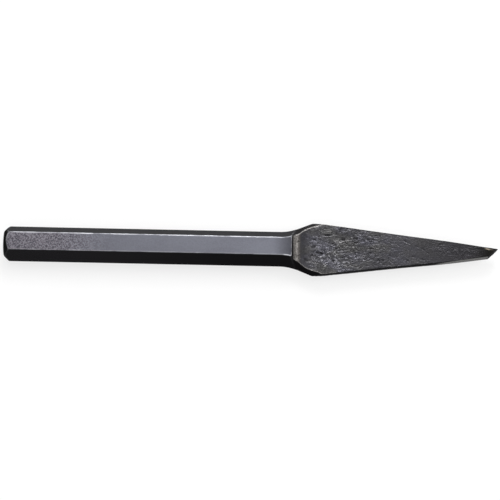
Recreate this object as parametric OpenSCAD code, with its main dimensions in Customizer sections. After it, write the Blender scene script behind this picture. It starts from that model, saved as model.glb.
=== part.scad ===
// Half round nose chisel, forged and ground from one length of hexagonal bar.
// It lies on a flat of the bar, with its axis along X and the cutting point at +X.
// The half round runs along the narrow edge at +Y, and the belly along the one at -Y.
// Distances called s run along the axis from the struck end.

/* [Bar] */
// Length from the crown of the struck end to the cutting point
overall_l = 152.4; // [146:0.1:180]
// Width across the flats of the hexagonal bar
across_flats = 9.525; // [9:0.005:10.4]

/* [Struck head] */
// Length of the head, which is left softer than the rest
head_l = 12; // [6:0.5:40]
// Diameter of the struck face inside its chamfer
head_face_d = 7.6; // [5.5:0.1:8.6]
// Angle between the head's chamfer and the axis
head_chamfer_angle = 45; // [35:1:60]
// Height of the crown on the struck face
head_crown = 0.25; // [0.1:0.05:0.6]

/* [Shoulder] */
// Distance from the struck end to where the sloping flats start to flare
flare_s = 85.2; // [70:0.1:88]
// Radius of the hollow curve that starts the flare
flare_r = 16.2; // [10:0.1:22]
// Angle of the flared flats to the axis, past the hollow curve
flare_angle = 19.1; // [15:0.1:24]
// Width over the two corners of the flare
flare_w = 16.8; // [15.6:0.02:18.4]
// Distance from the start of the flare to the foot of the step
foot_lead = 5.4; // [4.6:0.1:6.6]
// Radius of the hollow step between the bar and each wide face
step_r = 2.4; // [2:0.1:3.4]
// Distance from that foot to the foot of the narrower step on the facet beside it
facet_lead = 0.5; // [0.3:0.1:1]
// Thickness at the foot of the step
foot_t = 5; // [4.4:0.05:5.6]
// Distance over which the hollow behind the step thins the steel to the blade
hollow_l = 5.2; // [4:0.1:7]
// Length of the shoulder
shoulder_l = 15; // [13.5:0.5:20]

/* [Blade] */
// Thickness of the blade at its root, where the hollow ends
root_t = 3.6; // [3.4:0.02:4.2]
// Distance from the cutting point back to the thinnest place of the blade
waist_back = 38; // [30:0.5:44]
// Thickness at that place
waist_t = 3.1; // [2.6:0.02:3.3]

/* [Half round nose] */
// Width of the groove that the nose cuts, across its half round
nose_w = 4.76; // [4:0.02:6.4]
// Length of the nose
nose_l = 26; // [22:0.5:36]
// Distance of the cutting point from the axis, towards +Y
point_offset = 1.42; // [1.2:0.02:1.8]
// Half the angle of the cones that round the two narrow edges
round_spread = 13; // [10:0.5:16]
// Radius of the narrow edge at -Y, where it would pass the point
belly_r = 4; // [2.6:0.1:5]
// Length of the flat that is ground along the belly, up to the point
belly_l = 15.7; // [10:0.5:20]
// Distance of that flat from the axis, towards -Y, where it would pass the point
belly_offset = 0.9; // [0.7:0.02:1.1]
// Angle of the ground cutting face to the axis
bevel_angle = 42; // [38:1:60]

/* [Hidden] */
$fn = 180;
bar_colour = [0.36, 0.37, 0.41];
forged_colour = [0.27, 0.27, 0.29];
ground_colour = [0.46, 0.45, 0.44];

// A cutting or bounding shape reaches this far past the steel that it trims
past = 6;
// Half the height of a shape that bounds the steel in one direction only: twice what the flare needs
reach = flare_w;

// Half the angle that one side of a hexagon takes up, seen from its middle
side_half_angle = 30;
bar_apothem = across_flats / 2;
bar_corner_r = bar_apothem / cos(side_half_angle);

// The crown is part of a ball, and the chamfer starts at the crown's rim
head_face_r = head_face_d / 2;
crown_r = (pow(head_face_r, 2) + pow(head_crown, 2)) / (2 * head_crown);

// Where the hollow curve of the flare runs into its straight slope
flare_end_s = flare_s + flare_r * sin(flare_angle);
flare_end_apothem = bar_apothem + flare_r * (1 - cos(flare_angle));
// Where the straight slope reaches the full width, and the narrow edges start
corner_apothem = flare_w / 2 * cos(side_half_angle);
corner_s = flare_end_s + (corner_apothem - flare_end_apothem) / tan(flare_angle);

foot_s = flare_s + foot_lead;
root_s = foot_s + hollow_l;
blade_s = flare_s + shoulder_l;
nose_s = overall_l - nose_l;
waist_s = overall_l - waist_back;
belly_s = overall_l - belly_l;

// Each wide face follows three shallow curves: the hollow, down to the waist, out to the nose.
// Each is level at its lowest place, at low_s, and its points start at from and stop short of to.
curve_steps = 8;
function curve_h(s, low_s, low_h, high_s, high_h) =
    low_h + (high_h - low_h) * pow((s - low_s) / (high_s - low_s), 2);
function curve(from, to, low_s, low_h, high_s, high_h) = [
    for (i = [0:curve_steps - 1])
        let (s = from + (to - from) * i / curve_steps)
            [s, curve_h(s, low_s, low_h, high_s, high_h)]
];
end_s = overall_l + past;
end_h = curve_h(end_s, waist_s, waist_t / 2, overall_l, nose_w / 2);
face_points = concat(
    curve(foot_s, root_s, root_s, root_t / 2, foot_s, foot_t / 2),
    curve(root_s, waist_s, waist_s, waist_t / 2, root_s, root_t / 2),
    curve(waist_s, end_s, waist_s, waist_t / 2, overall_l, nose_w / 2),
    [[end_s, end_h]]
);

// The facets beside each wide face leave the corners of the flare at 45 degrees
facet_angle = 45;
facet_ratio = cos(facet_angle) / cos(side_half_angle);
function flare_apothem(s) = flare_end_apothem + (s - flare_end_s) * tan(flare_angle);
facet_points = [for (s = [foot_s + facet_lead, end_s]) [s, flare_apothem(s) * facet_ratio]];
// They are cut in stock that is taller than their far end
facet_stock_h = facet_points[1][1] + past;

// Both narrow edges run straight from the corners of the flare to the point's distance from the axis
taper_angle = atan((flare_w / 2 - point_offset) / (overall_l - corner_s));
function edge_y(s) = point_offset + (overall_l - s) * tan(taper_angle);
belly_angle = atan((edge_y(belly_s) - belly_offset) / belly_l);

// Each narrow edge is rounded by a cone, and the one at +Y is as wide as the groove at the point
nose_r = nose_w / 2;
cone_tilt = round_spread - taper_angle;

// Sets the part with its middle over the origin and a flat of the bar on the floor
module place() {
    translate([-overall_l / 2, 0, bar_apothem])
        children();
}

// An outline in s and height, made into a bar that is turned about the axis
module flats(turn) {
    rotate([90 + turn, 0, 0])
        translate([0, 0, -reach])
            linear_extrude(2 * reach)
                children();
}

// The upper half of an outline and its mirror image
module both_sides() {
    children();
    mirror([0, 1])
        children();
}

// Stock of some height that steps down in an arc to the first of a line of points, and follows them
module stepped_outline(stock_h, points) {
    lead = points[1] - points[0];
    both_sides()
        difference() {
            square([end_s, stock_h]);
            translate(points[0] + step_r * [-lead[1], lead[0]] / norm(lead))
                circle(step_r);
            polygon(concat(points, [[end_s, stock_h + past], [points[0][0], stock_h + past]]));
        }
}

// The outline that the four sloping flats follow: bar, hollow curve and straight flare
module flare_outline() {
    both_sides()
        difference() {
            polygon([
                [0, 0],
                [0, bar_apothem],
                [flare_s, bar_apothem],
                [flare_end_s, flare_end_apothem],
                [end_s, flare_apothem(end_s)],
                [end_s, 0]
            ]);
            translate([flare_s, bar_apothem + flare_r])
                circle(flare_r);
        }
}

// The cone that rounds the narrow edge at +Y, with its crest along that edge
module edge_cone(point_r) {
    back_l = overall_l + past;
    translate([overall_l + point_r * sin(cone_tilt), point_offset - point_r * cos(cone_tilt), 0])
        rotate([0, 0, cone_tilt])
            rotate([0, 90, 0])
                translate([0, 0, -back_l])
                    cylinder(
                        h = back_l + past,
                        r1 = point_r + back_l * tan(round_spread),
                        r2 = point_r - past * tan(round_spread)
                    );
}

// The forging between two distances from the struck end
module forging(from, to) {
    intersection() {
        translate([from, -reach, -reach])
            cube([to - from, 2 * reach, 2 * reach]);
        flats(0)
            stepped_outline(bar_apothem, face_points);
        flats(facet_angle)
            stepped_outline(facet_stock_h, facet_points);
        flats(-facet_angle)
            stepped_outline(facet_stock_h, facet_points);
        flats(2 * side_half_angle)
            flare_outline();
        flats(-2 * side_half_angle)
            flare_outline();
        edge_cone(nose_r);
        mirror([0, 1, 0])
            edge_cone(belly_r);
    }
}

// What is ground away along the belly
module belly_cut() {
    translate([belly_s, -edge_y(belly_s)])
        rotate([0, 0, belly_angle])
            translate([-past, -reach, -reach])
                cube([belly_l + 2 * past, reach, 2 * reach]);
}

// What is ground away past the cutting face
module bevel_cut() {
    translate([overall_l, point_offset])
        rotate([0, 0, bevel_angle])
            translate([-reach, -reach, -reach])
                cube([2 * reach, reach, 2 * reach]);
}

// A length of the plain hexagonal bar, with a flat on top and one underneath
module bar(from, to) {
    translate([from, 0, 0])
        rotate([90, 0, 90])
            linear_extrude(to - from)
                circle(bar_corner_r, $fn = 6);
}

// The end that the hammer strikes: a crowned face inside a chamfer
module struck_head() {
    chamfer_l = head_l - head_crown;
    color(bar_colour)
        place()
            intersection() {
                bar(0, head_l);
                rotate([0, 90, 0])
                    union() {
                        cylinder(h = head_crown, r = head_face_r);
                        translate([0, 0, head_crown])
                            cylinder(
                                h = chamfer_l,
                                r1 = head_face_r,
                                r2 = head_face_r + chamfer_l * tan(head_chamfer_angle)
                            );
                    }
                translate([crown_r, 0, 0])
                    sphere(crown_r);
            }
}

// The plain bar, which the hand or a holder grips
module hex_shank() {
    color(bar_colour)
        place()
            bar(head_l, flare_s);
}

// Where the bar is forged from a hexagon to a wide, flat blade
module shoulder() {
    color(forged_colour)
        place()
            forging(flare_s, blade_s);
}

// The tapering blade, thinnest at its waist so that it clears the groove
module blade() {
    color(forged_colour)
        place()
            forging(blade_s, nose_s);
}

// The ground end: the half round, the flat along the belly, and the cutting face
module nose() {
    color(ground_colour)
        place()
            difference() {
                forging(nose_s, end_s);
                belly_cut();
                bevel_cut();
            }
}

struck_head();
hex_shank();
shoulder();
blade();
nose();
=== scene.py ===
# %% [markdown]
# # A half round nose chisel
#
# This lesson dresses a small struck tool in Blender. It is one piece of steel: a hexagonal bar,
# chamfered and crowned where the hammer strikes it, forged flat at the other end and ground to a half
# round nose, all under a thin black oxide. Its looks come from how crisp each edge is, how rough each
# face is, and how the forged face ripples under a soft light.

# %% Load the measured model
import math

import bpy
import numpy as np
from mathutils import Matrix, Vector


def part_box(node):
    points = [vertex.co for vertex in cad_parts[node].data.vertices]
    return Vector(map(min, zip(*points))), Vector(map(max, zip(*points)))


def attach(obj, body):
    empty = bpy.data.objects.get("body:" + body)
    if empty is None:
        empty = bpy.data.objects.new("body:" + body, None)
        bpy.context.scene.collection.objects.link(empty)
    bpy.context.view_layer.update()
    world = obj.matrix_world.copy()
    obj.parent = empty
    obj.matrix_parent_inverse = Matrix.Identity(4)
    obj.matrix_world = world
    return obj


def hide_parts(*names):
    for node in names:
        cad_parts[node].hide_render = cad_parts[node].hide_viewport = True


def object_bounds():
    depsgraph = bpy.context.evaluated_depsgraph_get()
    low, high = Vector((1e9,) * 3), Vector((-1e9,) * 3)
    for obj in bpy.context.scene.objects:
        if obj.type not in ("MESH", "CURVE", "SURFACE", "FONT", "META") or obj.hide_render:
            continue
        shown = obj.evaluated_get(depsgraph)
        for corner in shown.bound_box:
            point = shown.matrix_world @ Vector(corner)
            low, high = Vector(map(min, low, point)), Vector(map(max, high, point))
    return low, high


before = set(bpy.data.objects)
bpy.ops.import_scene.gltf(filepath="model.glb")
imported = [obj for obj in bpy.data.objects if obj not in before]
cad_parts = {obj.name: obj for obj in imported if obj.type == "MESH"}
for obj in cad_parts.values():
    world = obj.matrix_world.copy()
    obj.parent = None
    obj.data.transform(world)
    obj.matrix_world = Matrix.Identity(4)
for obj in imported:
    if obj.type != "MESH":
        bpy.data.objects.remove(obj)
cad_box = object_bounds()
print("steel from", [round(v, 5) for v in cad_box[0]], "to", [round(v, 5) for v in cad_box[1]])

# %% [markdown]
# Everything is in metres, in the model's own frame: X runs along the tool to its point, Z is up. The
# measured model is five closed zones of the one forging. Where each zone starts and ends is read from
# it, so that the dressed pieces meet exactly where the measured ones do.

# %% Sizes read from the model
MM = 0.001
START_X = cad_box[0].x
OVERALL_L = cad_box[1].x - START_X
HEAD_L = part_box("struck_head")[1].x - START_X
FLARE_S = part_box("hex_shank")[1].x - START_X
BLADE_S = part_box("shoulder")[1].x - START_X
NOSE_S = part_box("blade")[1].x - START_X
BAR_APOTHEM = (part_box("hex_shank")[1].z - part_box("hex_shank")[0].z) / 2
AXIS_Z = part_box("hex_shank")[0].z + BAR_APOTHEM
FLARE_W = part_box("shoulder")[1].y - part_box("shoulder")[0].y
print("bar", round(2 * BAR_APOTHEM / MM, 3), "mm across flats,", round(OVERALL_L / MM, 1), "mm long")

# %% [markdown]
# The curves between those places are written here once, as on a toolmaker's drawing: the hollow that
# starts the flare, the step down to the wide face, that face's three shallow curves, and what is ground
# away at the nose.

# %% Sizes from the drawing
HEAD_FACE_R = 3.8 * MM
HEAD_CROWN = 0.25 * MM
CHAMFER = math.radians(45)
FLARE_R = 16.2 * MM
FLARE_ANGLE = math.radians(19.1)
FOOT_S = FLARE_S + 5.4 * MM
FACET_LEAD = 0.5 * MM
STEP_R = 2.4 * MM
FOOT_H = 2.5 * MM
ROOT_S = FOOT_S + 5.2 * MM
ROOT_H = 1.8 * MM
WAIST_S = OVERALL_L - 38 * MM
WAIST_H = 1.55 * MM
NOSE_R = 2.38 * MM
POINT_Y = 1.42 * MM
ROUND_SPREAD = math.radians(13)
BELLY_R = 4 * MM
BELLY_L = 15.7 * MM
BELLY_Y = -0.9 * MM
BEVEL = math.radians(42)
FACET_ANGLE = math.radians(45)

COS_30 = math.cos(math.radians(30))
SIN_30 = math.sin(math.radians(30))
FLARE_END_S = FLARE_S + FLARE_R * math.sin(FLARE_ANGLE)
FLARE_END_H = BAR_APOTHEM + FLARE_R * (1 - math.cos(FLARE_ANGLE))
CORNER_H = FLARE_W / 2 * COS_30
CORNER_S = FLARE_END_S + (CORNER_H - FLARE_END_H) / math.tan(FLARE_ANGLE)
FACET_RATIO = math.cos(FACET_ANGLE) / COS_30
TAPER = math.atan((FLARE_W / 2 - POINT_Y) / (OVERALL_L - CORNER_S))
print("the flare is full", round(CORNER_S / MM, 2), "mm from the struck end")

# %% [markdown]
# ## The steel as a rule
#
# A forging is easiest to describe by what bounds it: flats, cones and planes. Each bound says how far
# a point lies outside it, and the largest says how far the point lies outside the steel. A softened
# largest value rounds every edge, crisp where the tool was ground and softer where it was forged. A
# bevel modifier would stumble where a step, a facet and a flare meet.


# %% Softened largest value
def nearness(a, b, width):
    """1 where a and b are equal, falling to 0 where they are width apart."""
    return np.clip(1 - np.abs(a - b) / width, 0, None)


def soft_largest(a, b, soft):
    """The larger of a and b, with the corner between them rounded over about soft metres."""
    return np.maximum(a, b) + nearness(a, b, soft) ** 2 * soft / 4


def ease(value, start, end):
    """Runs smoothly from 0 at start to 1 at end."""
    t = np.clip((value - start) / (end - start), 0, 1)
    return t * t * (3 - 2 * t)


# %% How soft the edges are along the tool
BAR_SOFT = 0.16 * MM
FORGED_SOFT = 0.2 * MM
GROUND_SOFT = 0.07 * MM
GROUND_FROM = NOSE_S - 4 * MM
GROUND_TO = OVERALL_L - 12 * MM


def edge_softness(s):
    """Drawn edges on the bar, softer ones on the forging, crisp ones where the nose was ground."""
    forged = BAR_SOFT + (FORGED_SOFT - BAR_SOFT) * ease(s, FLARE_S, FOOT_S)
    return forged + (GROUND_SOFT - forged) * ease(s, GROUND_FROM, GROUND_TO)


# %% [markdown]
# The height of the wide face is three shallow parabolas in a row. The facet beside it and the flared
# flats run straight. Both the face and the facet start with a round step, cut by a small circle that
# touches them at their foot.


# %% Outlines along the tool
def face_height(s):
    """Half the thickness between the wide faces, past the step."""
    hollow = ROOT_H + (FOOT_H - ROOT_H) * ((s - ROOT_S) / (FOOT_S - ROOT_S)) ** 2
    root = WAIST_H + (ROOT_H - WAIST_H) * ((s - WAIST_S) / (ROOT_S - WAIST_S)) ** 2
    nose = WAIST_H + (NOSE_R - WAIST_H) * ((s - WAIST_S) / (OVERALL_L - WAIST_S)) ** 2
    return np.where(s < ROOT_S, hollow, np.where(s < WAIST_S, root, nose))


def flare_height(s):
    """Distance of the four flared flats from the axis."""
    into = np.clip(s - FLARE_S, 0, FLARE_END_S - FLARE_S)
    hollow = BAR_APOTHEM + FLARE_R - np.sqrt(FLARE_R ** 2 - into ** 2)
    return np.where(s < FLARE_END_S, hollow, FLARE_END_H + (s - FLARE_END_S) * math.tan(FLARE_ANGLE))


def outside_step(s, height, foot_s, foot_h, slope, surface_h):
    """How far a point at that height lies outside a face that starts with a round step."""
    steep = math.hypot(1, slope)
    centre_s = foot_s - slope / steep * STEP_R
    centre_h = foot_h + STEP_R / steep
    in_step = STEP_R - np.hypot(s - centre_s, height - centre_h)
    return np.where(s < foot_s, in_step, (height - surface_h) / steep)


# %% [markdown]
# In the photograph the outline swells a little beside the start of the wide faces and along the narrow
# edges. Low humps on the bounds there add that steel.

# %% Low humps
FACET_SWELL = 0.3 * MM
FACET_SWELL_S = FOOT_S + 2.8 * MM
FACET_SWELL_REACH = 3.8 * MM
EDGE_SWELL = 0.12 * MM
EDGE_SWELL_S = 136.5 * MM
EDGE_SWELL_REACH = 13 * MM


def swell(s, middle, reach):
    """A low hump along the tool: 1 at its middle, 0 past its reach."""
    return np.clip(1 - ((s - middle) / reach) ** 2, 0, None) ** 2


# %% [markdown]
# Two cones round the narrow edges. A cone that widens away from the point gives what grinding gives: a
# tight radius at the cutting edge that opens towards the shoulder. A plane takes away the belly. The
# bevel needs no bound, because the last ring of the mesh lies in it.


# %% Every bound in one function
def outside_cone(s, y, z, side, point_r):
    """How far a point lies outside the cone that rounds the narrow edge on that side."""
    tilt = ROUND_SPREAD - TAPER
    from_s = s - OVERALL_L - point_r * math.sin(tilt)
    from_y = side * y - POINT_Y + point_r * math.cos(tilt)
    along = from_s * math.cos(tilt) + from_y * math.sin(tilt)
    across = from_y * math.cos(tilt) - from_s * math.sin(tilt)
    radius = point_r - along * math.tan(ROUND_SPREAD)
    return (np.hypot(across, z) - radius) * math.cos(ROUND_SPREAD)


def outside_belly(s, y):
    """How far a point lies outside the flat that is ground along the belly."""
    edge_y = POINT_Y + BELLY_L * math.tan(TAPER)
    fall = math.atan((edge_y + BELLY_Y) / BELLY_L)
    return (s - OVERALL_L) * math.sin(fall) - (y - BELLY_Y) * math.cos(fall)


def forging_bounds(s, y, z):
    """How far a point lies outside each bound of the flared, forged and ground end."""
    across = np.abs(y)
    up = np.abs(z)
    foot_slope = -2 * (FOOT_H - ROOT_H) / (ROOT_S - FOOT_S)
    face = outside_step(s, up, FOOT_S, FOOT_H, foot_slope, face_height(s))
    facet_s = FOOT_S + FACET_LEAD
    facet_h = flare_height(facet_s) * FACET_RATIO
    facet_slope = math.tan(FLARE_ANGLE) * FACET_RATIO
    facet_way = (across + up) * math.cos(FACET_ANGLE)
    facet = outside_step(s, facet_way, facet_s, facet_h, facet_slope, flare_height(s) * FACET_RATIO)
    flare = up * SIN_30 + across * COS_30 - flare_height(s)
    edge_swell = EDGE_SWELL * swell(s, EDGE_SWELL_S, EDGE_SWELL_REACH)
    return (
        up - BAR_APOTHEM,
        face,
        facet - FACET_SWELL * swell(s, FACET_SWELL_S, FACET_SWELL_REACH),
        flare,
        outside_cone(s, y, z, 1, NOSE_R) - edge_swell,
        outside_cone(s, y, z, -1, BELLY_R) - edge_swell,
        outside_belly(s, y),
    )


def head_bounds(s, y, z):
    """How far a point lies outside the flats, the chamfer and the crown of the struck head."""
    round_r = np.hypot(y, z)
    crown_r = (HEAD_FACE_R ** 2 + HEAD_CROWN ** 2) / (2 * HEAD_CROWN)
    return (
        np.abs(z) - BAR_APOTHEM,
        np.abs(z) * SIN_30 + np.abs(y) * COS_30 - BAR_APOTHEM,
        (round_r - HEAD_FACE_R) * math.cos(CHAMFER) - (s - HEAD_CROWN) * math.sin(CHAMFER),
        np.hypot(round_r, s - crown_r) - crown_r,
    )


def outside(bounds, s, y, z):
    """How far a point lies outside the steel, with every edge rounded."""
    first, *others = bounds(s, y, z)
    soft = edge_softness(s)
    for bound in others:
        first = soft_largest(first, bound, soft)
    return first


# %% [markdown]
# ## From the rule to a mesh
#
# The surface is wrapped with rings. Each lies in a plane, where rays from the axis find the end of
# the steel. The planes stand square to the axis, but lean over at the nose until the last one lies in
# the bevel. A ring's points gather where it bends, so that a rounded edge gets as many as it needs.

# %% Rays and rings
AROUND = 256
RAYS_AROUND = 1440
HALVINGS = 24
EDGE_SHARE = 0.7 * MM
FAR_OUT = 12 * MM
TURN = np.linspace(0, 2 * np.pi, RAYS_AROUND, endpoint=False)


def reach_surface(bounds, origin_s, ray):
    """Where rays from points on the axis leave the steel, found by halving the stretch that holds it."""
    near = np.zeros(ray.shape[:2])
    far = np.full(ray.shape[:2], FAR_OUT)
    for _ in range(HALVINGS):
        middle = (near + far) / 2
        s = origin_s[:, None] + ray[..., 0] * middle
        inside = outside(bounds, s, ray[..., 1] * middle, ray[..., 2] * middle) < 0
        near = np.where(inside, middle, near)
        far = np.where(inside, far, middle)
    rings = ray * near[..., None]
    rings[..., 0] += origin_s[:, None]
    return rings


def settle(ring):
    """The same ring with AROUND points, closer together where it bends."""
    loop = np.vstack([ring, ring[:1]])
    step = np.diff(loop, axis=0)
    length = np.linalg.norm(step, axis=1)
    way = step / length[:, None]
    bend = np.arccos(np.clip((way * np.roll(way, 1, axis=0)).sum(1), -1, 1))
    share = length + EDGE_SHARE * (bend + np.roll(bend, -1)) / 2
    run = np.concatenate([[0], np.cumsum(share)])
    wanted = np.linspace(0, run[-1], AROUND, endpoint=False)
    return np.stack([np.interp(wanted, run, loop[:, axis]) for axis in range(3)], axis=1)


def leaning_rays(lean, half_w, half_h):
    """Rays in planes that lean over, spread as on an ellipse, so that a flat section gets its share."""
    flat = half_w[:, None] * np.cos(TURN)
    high = half_h[:, None] * np.sin(TURN)
    length = np.hypot(flat, high)
    flat, high = flat / length, high / length
    return np.stack([flat * np.cos(lean)[:, None], flat * np.sin(lean)[:, None], high], axis=2)


def leaning_rings(bounds, origin_s, lean):
    """Settled rings in leaning planes, after a first look at how wide and how high each one is."""
    guess = np.full(len(origin_s), BAR_APOTHEM)
    first = reach_surface(bounds, origin_s, leaning_rays(lean, guess, guess))
    width = np.linalg.norm(first[..., :2] - first[..., :2].mean(1)[:, None], axis=2).max(1)
    rings = reach_surface(bounds, origin_s, leaning_rays(lean, width, first[..., 2].max(1)))
    return np.array([settle(ring) for ring in rings])


# %% [markdown]
# The rings are spread evenly over the length of the surface, so that the steep step gets its share of
# them. About a sixth of a millimetre apart, they are fine enough to carry the ripples of the forging.

# %% Rings of the forged end
RING_GAP = 0.16 * MM
LEAN_S = OVERALL_L - 15 * MM
LAST_S = OVERALL_L - POINT_Y / math.tan(BEVEL)
FINE_STEPS = 14000


def forged_stations():
    """Places along the axis, spread evenly over the surface, with one where each zone ends."""
    s = np.linspace(FLARE_S, LAST_S, FINE_STEPS)
    in_circle = np.clip(STEP_R ** 2 - (s - FOOT_S) ** 2, 0, None)
    arc = np.where(in_circle > 0, FOOT_H + STEP_R - np.sqrt(in_circle), BAR_APOTHEM)
    height = np.where(s < FOOT_S, np.minimum(BAR_APOTHEM, arc), face_height(s))
    run = np.concatenate([[0], np.cumsum(np.hypot(np.diff(s), np.diff(height)))])
    places = np.interp(np.linspace(0, run[-1], int(run[-1] / RING_GAP) + 1), run, s)
    for zone_s in (BLADE_S, NOSE_S):
        places[np.abs(places - zone_s).argmin()] = zone_s
    return places


stations = forged_stations()
lean = math.pi / 2 - (math.pi / 2 - BEVEL) * ease(stations, LEAN_S, LAST_S)
forged_skin = leaning_rings(forging_bounds, stations, lean)
print(len(stations), "rings of", AROUND, "points on the forged end")

# %% [markdown]
# The struck end is wrapped by rays that start inside the head and sweep from its middle out over the
# crown, down the chamfer and back along the flats. They lie on cones round the axis and not in flat
# planes.

# %% Rings of the struck head
HEAD_MIDDLE = 4 * MM
CROWN_RINGS = 26
CHAMFER_RINGS = 18
SIDE_RINGS = 42


def head_targets():
    """Where the rays of each ring aim, as distances along the axis and from it."""
    chamfer_end = HEAD_CROWN + BAR_APOTHEM / COS_30 - HEAD_FACE_R
    side_r = HEAD_FACE_R + chamfer_end
    first_gap = HEAD_FACE_R / CROWN_RINGS
    crown = [(0, r) for r in np.linspace(first_gap, HEAD_FACE_R, CROWN_RINGS)]
    chamfer = [(s, HEAD_FACE_R + s) for s in np.linspace(0, chamfer_end, CHAMFER_RINGS + 1)[1:]]
    side = [(s, side_r) for s in np.linspace(chamfer_end, HEAD_L, SIDE_RINGS + 1)[1:]]
    return np.array(crown + chamfer + side)


aim = head_targets()
head_origin = np.maximum(aim[:, 0], HEAD_MIDDLE)
head_way = np.stack([aim[:, 0] - head_origin, aim[:, 1]], axis=1)
head_way /= np.linalg.norm(head_way, axis=1)[:, None]
head_rays = np.stack(
    [
        np.repeat(head_way[:, :1], RAYS_AROUND, axis=1),
        head_way[:, 1:] * np.cos(TURN),
        head_way[:, 1:] * np.sin(TURN),
    ],
    axis=2,
)
head_skin = np.array([settle(ring) for ring in reach_surface(head_bounds, head_origin, head_rays)])
print(len(aim), "rings on the struck head")

# %% [markdown]
# Oxide wears through on the edges first, and an edge is where two bounds are equally near: crease
# keeps that as a number on every point. Rim is the same round the wide faces alone. Wide and ground
# mark where one bound counts: the wide faces with the step that starts them, and the flat along the
# belly. The materials and the ripples read these numbers.

# %% Where the edges, the wide faces and the ground belly are
WEAR_WIDTH = 0.3 * MM
MARK_WIDTH = 0.04 * MM
WIDE_BOUND = 1
BELLY_BOUND = 6


def creases(bounds, rings):
    """1 along every edge of the rule, falling to 0 beside it."""
    found = np.sort(np.array(bounds(rings[..., 0], rings[..., 1], rings[..., 2])), axis=0)
    return nearness(found[-1], found[-2], WEAR_WIDTH)


def lead(rings, number):
    """How far one bound of the forged end is ahead of the others: above 0 where it counts."""
    found = np.array(forging_bounds(rings[..., 0], rings[..., 1], rings[..., 2]))
    return found[number] - np.delete(found, number, axis=0).max(axis=0)


head_crease = creases(head_bounds, head_skin)
wide_lead = lead(forged_skin, WIDE_BOUND)
marked = {
    "crease": creases(forging_bounds, forged_skin),
    "wide": ease(wide_lead, -MARK_WIDTH, MARK_WIDTH),
    "rim": nearness(wide_lead, 0, WEAR_WIDTH),
    "ground": ease(lead(forged_skin, BELLY_BOUND), -MARK_WIDTH, MARK_WIDTH),
}
print({name: round(float(values.mean()), 3) for name, values in marked.items()})

# %% [markdown]
# ## Hammer marks
#
# The wide face carries some marks that stand out: short, deep dents where scale was hammered in,
# listed one by one. The blows came from one side, so each mark throws up a low rim on the belly's side
# of it.

# %% Hammer marks
# Each mark: place along and across the tool, length, width, turn in degrees, depth. Lengths are in mm.
MARKS_ABOVE = [
    (99.9, 4.4, 2.1, 0.5, 4, 0.2),
    (97.3, 3.9, 1.2, 0.5, -12, 0.06),
    (97.9, -1.6, 2.2, 0.6, 48, 0.08),
    (99.6, -0.6, 1.8, 0.5, 30, 0.06),
    (102.2, 1.6, 2.4, 0.55, -6, 0.07),
    (103.4, -0.4, 1.9, 0.5, 10, 0.07),
    (104.6, 3.1, 1.3, 0.5, 35, 0.07),
    (107.9, 2.2, 2.6, 0.5, 5, 0.06),
    (112.4, 3.3, 0.8, 0.6, 20, 0.11),
    (113.6, 2.1, 2.4, 0.5, 0, 0.06),
    (111.2, -2.9, 1.6, 0.5, 8, 0.06),
    (116.8, -3.1, 0.7, 0.6, 0, 0.09),
    (119.6, 2.3, 1.2, 0.5, -30, 0.07),
    (123.9, 2.9, 1.1, 0.45, -28, 0.09),
    (124.7, 2.4, 1.0, 0.45, -20, 0.08),
    (127.1, 1.4, 1.3, 0.45, -24, 0.06),
    (129.6, 1.1, 1.2, 0.45, 15, 0.06),
    (143.2, -0.6, 1.1, 0.4, 40, 0.04),
]
MARKS_BELOW = [
    (98.4, -3.6, 1.8, 0.6, 15, 0.1),
    (101.0, 2.2, 2.2, 0.6, -35, 0.08),
    (104.8, -1.2, 2.6, 0.55, 6, 0.08),
    (109.3, 3.4, 1.0, 0.6, -15, 0.1),
    (112.7, 0.4, 2.1, 0.5, 12, 0.06),
    (117.5, -2.6, 1.2, 0.5, 30, 0.08),
    (121.9, 1.5, 1.7, 0.5, -8, 0.07),
    (128.2, -0.8, 1.2, 0.45, 22, 0.06),
]
RIM_SHARE = 0.9
RIM_SPREAD = 1.6
# The materials read a mark this deep as 1
DEEP = 0.1 * MM


def hammered(rings, marks, side):
    """How deep the marks press into the wide face on that side, at each point."""
    depth = np.zeros(rings.shape[:2])
    for s, y, length, width, turn, deep in marks:
        cos, sin = math.cos(math.radians(turn)), math.sin(math.radians(turn))
        from_s, from_y = rings[..., 0] - s * MM, rings[..., 1] - y * MM
        along = (from_s * cos + from_y * sin) / (length * MM / 2)
        across = (from_y * cos - from_s * sin) / (width * MM / 2)
        spread = along ** 2 + across ** 2
        rim = np.clip(-across, 0, 1) * spread * np.exp(-spread / RIM_SPREAD)
        depth += deep * MM * (np.exp(-spread) - RIM_SHARE * rim) * (rings[..., 2] * side > 0)
    return depth


dents = hammered(forged_skin, MARKS_ABOVE, 1) + hammered(forged_skin, MARKS_BELOW, -1)
forged_skin[..., 2] -= np.sign(forged_skin[..., 2]) * dents * (1 - marked["crease"])
marked["dent"] = dents / DEEP
print(len(MARKS_ABOVE) + len(MARKS_BELOW), "hammer marks, the deepest", round(dents.max() / MM, 2), "mm")

# %% [markdown]
# ## Sums and nodes
#
# Both the ripples of the steel and its finish are worked out by nodes. Wiring Math nodes by hand hides
# what they work out, so one small class wraps a socket and lets Python's own signs add the nodes.


# %% A socket that takes part in sums
def sign(operation, turned=False):
    """What one of Python's signs does: a Math node, with its values the other way round where turned."""

    def act(self, other):
        return self.sum(operation, *((other, self) if turned else (self, other)))

    return act


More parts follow.
